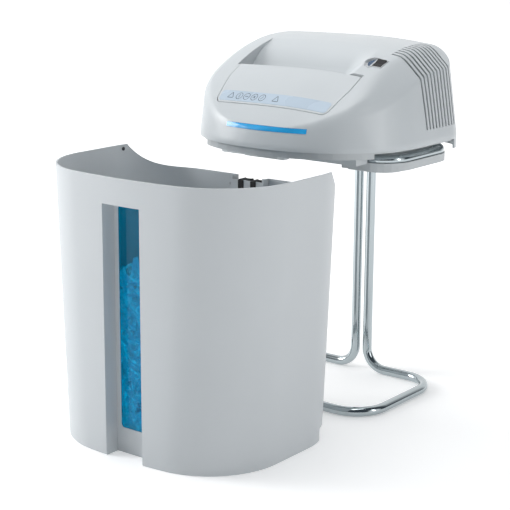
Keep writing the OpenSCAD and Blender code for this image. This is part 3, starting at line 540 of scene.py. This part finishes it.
def on_label(x, y):
    """The point 0.1 mm above the label's face at x, y."""
    hit = label_tree.ray_cast(at(x, y, 640), Vector((0, 0, -1)))
    return hit[0] + hit[1] * 0.0001


def stroke(bm, points, width, closed=True):
    """A flat printed line through points on the label."""
    n = len(points)
    pairs = []
    for i in range(n):
        a = Vector(points[i - 1] if closed or i else points[i])
        b = Vector(points[(i + 1) % n] if closed or i < n - 1 else points[i])
        t = (b - a).normalized()
        p = Vector(points[i])
        side = Vector((-t.y, t.x)) * width / 2
        pairs.append([bm.verts.new(on_label(*(p + side))), bm.verts.new(on_label(*(p - side)))])
    for i in range(n if closed else n - 1):
        a, b = pairs[i], pairs[(i + 1) % n]
        bm.faces.new([a[0], a[1], b[1], b[0]])


icons = bmesh.new()


def triangle(x, y, r):
    corners = [(x + r * math.cos(math.radians(a)), y + r * math.sin(math.radians(a))) for a in (90, 210, 330)]
    line = []
    for i in range(3):
        a, b = Vector(corners[i]), Vector(corners[(i + 1) % 3])
        line += [tuple(a.lerp(b, k)) for k in (0.06, 0.5, 0.94)]
    stroke(icons, line, 0.9)


def ring(x, y, r, mark):
    """A circle with a plain line through it at each angle in mark."""
    round_turn = [math.tau * i / 28 for i in range(28)]
    stroke(icons, [(x + r * math.cos(a), y + r * math.sin(a)) for a in round_turn], 0.8)
    for angle in mark:
        c, s = math.cos(math.radians(angle)) * r * 0.55, math.sin(math.radians(angle)) * r * 0.55
        stroke(icons, [(x - c, y - s), (x, y), (x + c, y + s)], 0.9, closed=False)


triangle(-84, -269.3, 6.6)
ring(-67.7, -268.6, 5.6, (90,))
ring(-53, -268.6, 5.6, (0,))
ring(-38, -268.6, 5.6, (45, 135))
ring(-22.5, -268.6, 5.6, (60,))
triangle(5, -269.3, 6.6)
for face in icons.faces:
    face.normal_update()
    if face.normal.z < 0:
        face.normal_flip()
new_object("label_marks", icons, icon_blue, "stand_and_head")

lamp_skin = smooth_body(-0.3)
lamp_core = head_hull(4, CORE_LOW, 12)
lamp = boolean(lamp_skin, [lamp_block(0)], "INTERSECT")
lamp = boolean(lamp, [lamp_core], "DIFFERENCE")
finish_object("lamp_bar", applied(lamp), lamp_blue, "stand_and_head", ["light_bar"], 28)


# ---------- tubes ----------

def arc(centre, r, a0, a1, steps, lift=None):
    """Points of a level arc, or of an upright one in the XZ plane when lift is given."""
    out = []
    for i in range(steps + 1):
        a = math.radians(a0 + (a1 - a0) * i / steps)
        if lift is None:
            out.append((centre[0] + r * math.cos(a), centre[1] + r * math.sin(a), centre[2]))
        else:
            out.append((centre[0] + r * math.cos(a), centre[1], centre[2] + r * math.sin(a)))
    return out


def sweep(path, r):
    """A round tube along a path of (x, y, z) points, with square ends."""
    sides = 40
    pts = [at(*p) for p in path]
    bm = bmesh.new()
    rows = []
    tangent = (pts[1] - pts[0]).normalized()
    up = Vector((0, 1, 0)) if abs(tangent.y) < 0.9 else Vector((0, 0, 1))
    across = tangent.cross(up).normalized()
    for i, p in enumerate(pts):
        ahead, behind = pts[min(i + 1, len(pts) - 1)] - p, p - pts[max(i - 1, 0)]
        t = (ahead.normalized() + behind.normalized()).normalized()
        across = (across - t * across.dot(t)).normalized()
        other = t.cross(across)
        row = []
        for k in range(sides):
            a = math.tau * k / sides
            row.append(bm.verts.new(p + (across * math.cos(a) + other * math.sin(a)) * r / 1000))
        rows.append(row)
    for a, b in zip(rows, rows[1:]):
        for k in range(sides):
            bm.faces.new([a[k], a[(k + 1) % sides], b[(k + 1) % sides], b[k]])
    bm.faces.new(rows[0][::-1])
    bm.faces.new(rows[-1])
    bmesh.ops.recalc_face_normals(bm, faces=bm.faces)
    return bm


POST_HALF_GAP, BEND_R, TUBE_R, LOOP_Z = 12.3, 36.0, 8.0, 419.0


def loop_path(half_w, reach, r, z, post_end, up):
    """From the top of the right post round the loop to the top of the left post."""
    g, b = POST_HALF_GAP, BEND_R
    right = [(g, 0, post_end)]
    right += arc((g + b, 0, z + up * b), b, 180, 180 + up * 90, 16, lift=True)
    right += arc((half_w - r, -r, z), r, 90, 0, 18)
    right += arc((half_w - r, r - reach, z), r, 0, -90, 18)
    return right + [(-x, y, zz) for x, y, zz in reversed(right)]


JOINT_Z = LOOP_Z - BEND_R - 9
new_object("base_tube", sweep(loop_path(153.5, 222, 55, TUBE_R, JOINT_Z, 1), TUBE_R), chrome,
           "stand_and_head", ["stand_tube"], 40)
new_object("head_loop_tube", sweep(loop_path(165, 181, 45, LOOP_Z, JOINT_Z, -1), TUBE_R), chrome,
           "stand_and_head", ["support_loop"], 40)


# ---------- bin ----------

BIN_DEPTH, BOW_R, CORNER_R, REAR_R = 314, 775, 126, 100
BIN_LOW_W, BIN_TOP_W, BIN_TOP = 188.5, 207, 428


def bin_plan(w, inset):
    """The bin seen from above at half width w: a bowed front, two front corners and two rear ones."""
    front = BOW_R - BIN_DEPTH
    side = w - CORNER_R
    corner_y = front - math.sqrt((BOW_R - CORNER_R) ** 2 - side * side)
    turn = math.atan2(side, front - corner_y)
    half = []
    for i in range(14):
        a = turn * i / 14
        half.append(((BOW_R - inset) * math.sin(a), front - (BOW_R - inset) * math.cos(a)))
    for i in range(41):
        a = turn + (math.pi / 2 - turn) * i / 40
        half.append((side + (CORNER_R - inset) * math.sin(a), corner_y - (CORNER_R - inset) * math.cos(a)))
    for i in range(31):
        a = math.pi / 2 * i / 30
        half.append((w - REAR_R + (REAR_R - inset) * math.cos(a), -REAR_R + (REAR_R - inset) * math.sin(a)))
    return half + [(-x, y) for x, y in reversed(half) if x > 0.001]


def bin_ring(z, inset):
    w = BIN_LOW_W + (BIN_TOP_W - BIN_LOW_W) * z / BIN_TOP
    return [in_bin(x, y, z) for x, y in bin_plan(w, inset)]


def bin_body(inset, low, high, rounded=False):
    if rounded:
        levels = [(0, 1.6), (0.5, 0.8), (1.6, 0.1), (2.6, 0)]
    else:
        levels = [(low, 0)]
    levels += [(low + (high - low) * k / 5, 0) for k in range(1, 5)]
    levels += [(high, 0)]
    return scratch("bin", ring_loft([bin_ring(z, inset + extra) for z, extra in levels]))


def bin_block(x, y0, y1, z0, z1):
    return block(-x, x, y0, y1, z0, z1, place=in_bin)


fall_line = [(-77, BIN_TOP - 0.001), (-76, BIN_TOP - 0.1)] + [
    (-77 * (1 - k / 30), 387 + 41 * (1 - k / 30) ** 2.2) for k in range(1, 31)]
rim_cut = prism([(-77.2, 445)] + fall_line + [(12, 387), (12, 445)], -300, 300, place=in_bin, axis="x")
shell = bin_body(0, 0, BIN_TOP, rounded=True)
hollow = bin_body(3, 25, 440)
hollow = boolean(hollow, [bin_block(39, -330, -285, -5, 391), bin_block(33, -17, 6, -5, 450)], "DIFFERENCE")
below = bin_body(3, -6, 22)
below = boolean(below, [bin_block(39, -330, -285, -8, 40), bin_block(33, -17, 6, -8, 40)], "DIFFERENCE")
shell = boolean(shell, [hollow, below], "DIFFERENCE")
shell = boolean(shell, [
    bin_block(36, -330, -288, -5, 388), bin_block(30, -14, 6, -5, 450), bin_block(300, -68, 12, -8, 22),
    rim_cut, bin_block(30.001, -24, 6, 382, 450),
], "DIFFERENCE")
window = round_polygon([(-28, 40), (28, 40), (28, 383), (-28, 383)], 6)


def upright(x, z, y):
    return in_bin(x, y, z)


holes = [prism(window, -292, -280, place=upright)]
for s in (-1, 1):
    pad_x = s * POST_HALF_GAP
    holes.append(block(pad_x - 5.5, pad_x + 5.5, -19.5, -6, 345, 450, place=in_bin))
shell = boolean(shell, holes, "DIFFERENCE")
finish_object("bin_body", applied(shell), bin_grey, "bin", ["bin_shell"], 28)

# ---------- shredded paper behind the window ----------

random.seed(11)


def paper_height(x, y):
    return (264 + 16 * math.sin(x / 31 + 1) * math.cos(y / 27) + 9 * math.sin(x / 11 + y / 9)
            - 0.0016 * x * x - 0.0012 * (y + 230) ** 2)


def paper_inside(x, y, margin):
    """Whether a spot is inside the bin near its floor, clear of the recess and of the post channel."""
    outline = bin_plan(BIN_LOW_W + 18.5 * 60 / BIN_TOP, 3 + margin)
    hit = False
    n = len(outline)
    for i in range(n):
        (x1, y1), (x2, y2) = outline[i], outline[(i + 1) % n]
        if (y1 > y) != (y2 > y) and x < (x2 - x1) * (y - y1) / (y2 - y1) + x1:
            hit = not hit
    in_recess = abs(x) < 40 + margin and y < -281 + margin
    in_channel = abs(x) < 34 + margin and y > -19 - margin
    return hit and not in_recess and not in_channel


heap = bmesh.new()
grid = {}
STEP = 8
for i in range(-24, 25):
    for j in range(-39, 0):
        x, y = i * STEP, j * STEP
        if paper_inside(x, y, 5):
            z = paper_height(x, y) + random.uniform(-5, 5)
            grid[i, j] = (heap.verts.new(in_bin(x, y, z)), heap.verts.new(in_bin(x, y, 25.4)))
for i, j in grid:
    cell = [(i, j), (i + 1, j), (i + 1, j + 1), (i, j + 1)]
    if all(c in grid for c in cell):
        heap.faces.new([grid[c][0] for c in cell])
        heap.faces.new([grid[c][1] for c in reversed(cell)])
edges = [e for e in heap.edges if len(e.link_faces) == 1]
bottoms = dict(grid.values())
for e in edges:
    a, b = e.verts
    if a in bottoms and b in bottoms:
        heap.faces.new([a, b, bottoms[b], bottoms[a]])
loose = [v for v in heap.verts if not v.link_faces]
bmesh.ops.delete(heap, geom=loose, context="VERTS")
bmesh.ops.recalc_face_normals(heap, faces=heap.faces)
new_object("paper_heap", heap, paper_white, "bin", (), 80)


def strip(bm, x, y, z, length, width, facing):
    """One curled paper strip; facing 'front' lies against the window, 'top' on the heap."""
    heading = random.uniform(0, math.tau)
    bend = random.uniform(-1.6, 1.6)
    wave = random.uniform(1.0, 3.0)
    phase = random.uniform(0, math.tau)
    rows = []
    n = 9
    u, v = x, z if facing == "front" else y
    for k in range(n):
        f = k / (n - 1)
        heading += bend / n
        u += math.cos(heading) * length / n
        v += math.sin(heading) * length / n
        lift = wave * (1 + math.sin(phase + f * 7.0))
        du, dv = -math.sin(heading) * width / 2, math.cos(heading) * width / 2
        tilt = math.sin(phase * 1.7 + f * 4) * width * 0.35
        if facing == "front":
            ends = [(u + du, y + lift * 0.8 + tilt, v + dv), (u - du, y + lift * 0.8 - tilt, v - dv)]
            if abs(u) > 48 or not 28 < v < 306:
                break
        else:
            if not paper_inside(u, v, 8):
                break
            h = paper_height(u, v) + 2 + lift
            ends = [(u + du, v + dv, h + tilt), (u - du, v - dv, h - tilt)]
        rows.append([bm.verts.new(in_bin(*p)) for p in ends])
    for a, b in zip(rows, rows[1:]):
        bm.faces.new([a[0], a[1], b[1], b[0]])


strips = bmesh.new()
for _ in range(430):
    strip(strips, random.uniform(-44, 44), random.uniform(-279, -270), random.uniform(30, 268),
          random.uniform(25, 60), random.uniform(3.2, 6.5), "front")
bmesh.ops.delete(strips, geom=[v for v in strips.verts if not v.link_faces], context="VERTS")
# The strips against the window carry the painted glow that stands in for light coming through the pane.
new_object("paper_at_window", strips, paper_painted_glow, "bin", (), 80)
strips = bmesh.new()
for _ in range(1100):
    strip(strips, random.uniform(-180, 180), random.uniform(-300, -10), 0, random.uniform(35, 80),
          random.uniform(3.2, 4.2), "top")
bmesh.ops.delete(strips, geom=[v for v in strips.verts if not v.link_faces], context="VERTS")
new_object("paper_strips", strips, paper_white, "bin", (), 80)

# ---------- floor, light and camera ----------

floor = bmesh.new()
bmesh.ops.create_grid(floor, x_segments=1, y_segments=1, size=9)
floor_mesh = bpy.data.meshes.new("floor")
floor.to_mesh(floor_mesh)
floor.free()
floor_obj = bpy.data.objects.new("floor", floor_mesh)
scene.collection.objects.link(floor_obj)
floor_white = material("floor_white", (0.93, 0.93, 0.93), rough=0.7, vary=0.004, vary_size=900,
                       extra={"Specular IOR Level": 0.2, "Emission Strength": 1.0})
paper = floor_white.node_tree
place = paper.nodes.new("ShaderNodeTexCoord")
reach = paper.nodes.new("ShaderNodeVectorMath")
reach.operation = "LENGTH"
paper.links.new(place.outputs["Object"], reach.inputs[0])
far = paper.nodes.new("ShaderNodeMapRange")
socket(far, "From Min", 0.5)
socket(far, "From Max", 3.0)
socket(far, "To Min", 0.30)
socket(far, "To Max", 0.75)
paper.links.new(reach.outputs["Value"], far.inputs["Value"])
glowing = paper.nodes.new("ShaderNodeCombineColor")
for channel in ("Red", "Green", "Blue"):
    paper.links.new(far.outputs[0], glowing.inputs[channel])
paper.links.new(glowing.outputs[0], paper.nodes["Principled BSDF"].inputs["Emission Color"])
floor_mesh.materials.append(floor_white)

world = bpy.data.worlds.new("studio")
scene.world = world
world.use_nodes = True
sky = world.node_tree
sky.nodes.clear()
sky_out = sky.nodes.new("ShaderNodeOutputWorld")
back = sky.nodes.new("ShaderNodeBackground")
sky.links.new(back.outputs[0], sky_out.inputs[0])
aim = sky.nodes.new("ShaderNodeTexCoord")


def glow(direction, low, high):
    """How bright the studio is towards a direction: 0 below the cosine `low`, 1 above `high`."""
    dot = sky.nodes.new("ShaderNodeVectorMath")
    dot.operation = "DOT_PRODUCT"
    dot.inputs[1].default_value = Vector(direction).normalized()
    sky.links.new(aim.outputs["Generated"], dot.inputs[0])
    span = sky.nodes.new("ShaderNodeMapRange")
    span.interpolation_type = "SMOOTHSTEP"
    socket(span, "From Min", low)
    socket(span, "From Max", high)
    sky.links.new(dot.outputs["Value"], span.inputs["Value"])
    return span.outputs[0]


def brightest(a, b):
    node = sky.nodes.new("ShaderNodeMath")
    node.operation = "MAXIMUM"
    sky.links.new(a, node.inputs[0])
    sky.links.new(b, node.inputs[1])
    return node.outputs[0]


wall = glow((-0.6, 0.8, 0.1), 0.2, 0.7)
left_panel = glow((-0.95, -0.25, 0.25), 0.72, 0.9)
right_panel = glow((0.97, 0.1, 0.2), 0.9, 0.97)
total = brightest(wall, brightest(left_panel, right_panel))
tone = sky.nodes.new("ShaderNodeValToRGB")
tone.color_ramp.elements[0].color = (0.07, 0.085, 0.10, 1)
tone.color_ramp.elements[1].color = (1.0, 1.0, 1.0, 1)
sky.links.new(total, tone.inputs["Fac"])
sky.links.new(tone.outputs[0], back.inputs["Color"])
socket(back, "Strength", 1.02)


def area_light(name, where, aim, size, power):
    data = bpy.data.lights.new(name, "AREA")
    data.shape = "RECTANGLE"
    data.size, data.size_y = size
    data.energy = power
    obj = bpy.data.objects.new(name, data)
    obj.location = where
    obj.rotation_euler = (Vector(aim) - Vector(where)).to_track_quat("-Z", "Y").to_euler()
    scene.collection.objects.link(obj)


area_light("key", (-2.9, -1.4, 1.6), (0, 0, 0.3), (1.2, 1.6), 58)
area_light("top", (0.0, -0.3, 2.7), (0, 0, 0.4), (1.8, 1.8), 32)
area_light("fill", (2.9, 0.3, 1.1), (0, 0, 0.3), (0.5, 1.6), 9)

scene.view_settings.view_transform = "Standard"
scene.view_settings.look = "None"

camera_data = bpy.data.cameras.new("camera")
camera_data.sensor_width = 36
camera_data.lens = 102.5343529
camera_data.clip_end = 50
camera = bpy.data.objects.new("camera", camera_data)
scene.collection.objects.link(camera)
scene.camera = camera
AZ, PITCH, ROLL = math.radians(37.46), math.radians(13.58), math.radians(0.32)
forward = Vector((-math.sin(AZ) * math.cos(PITCH), math.cos(AZ) * math.cos(PITCH), -math.sin(PITCH)))
level = Vector((math.cos(AZ), math.sin(AZ), 0))
above = level.cross(forward)
right = level * math.cos(ROLL) + above * math.sin(ROLL)
above = above * math.cos(ROLL) - level * math.sin(ROLL)
camera.matrix_world = Matrix.Translation(at(1359.9, -2088.9, 810)) @ Matrix(
    (right, above, -forward)).transposed().to_4x4()

bpy.context.view_layer.update()
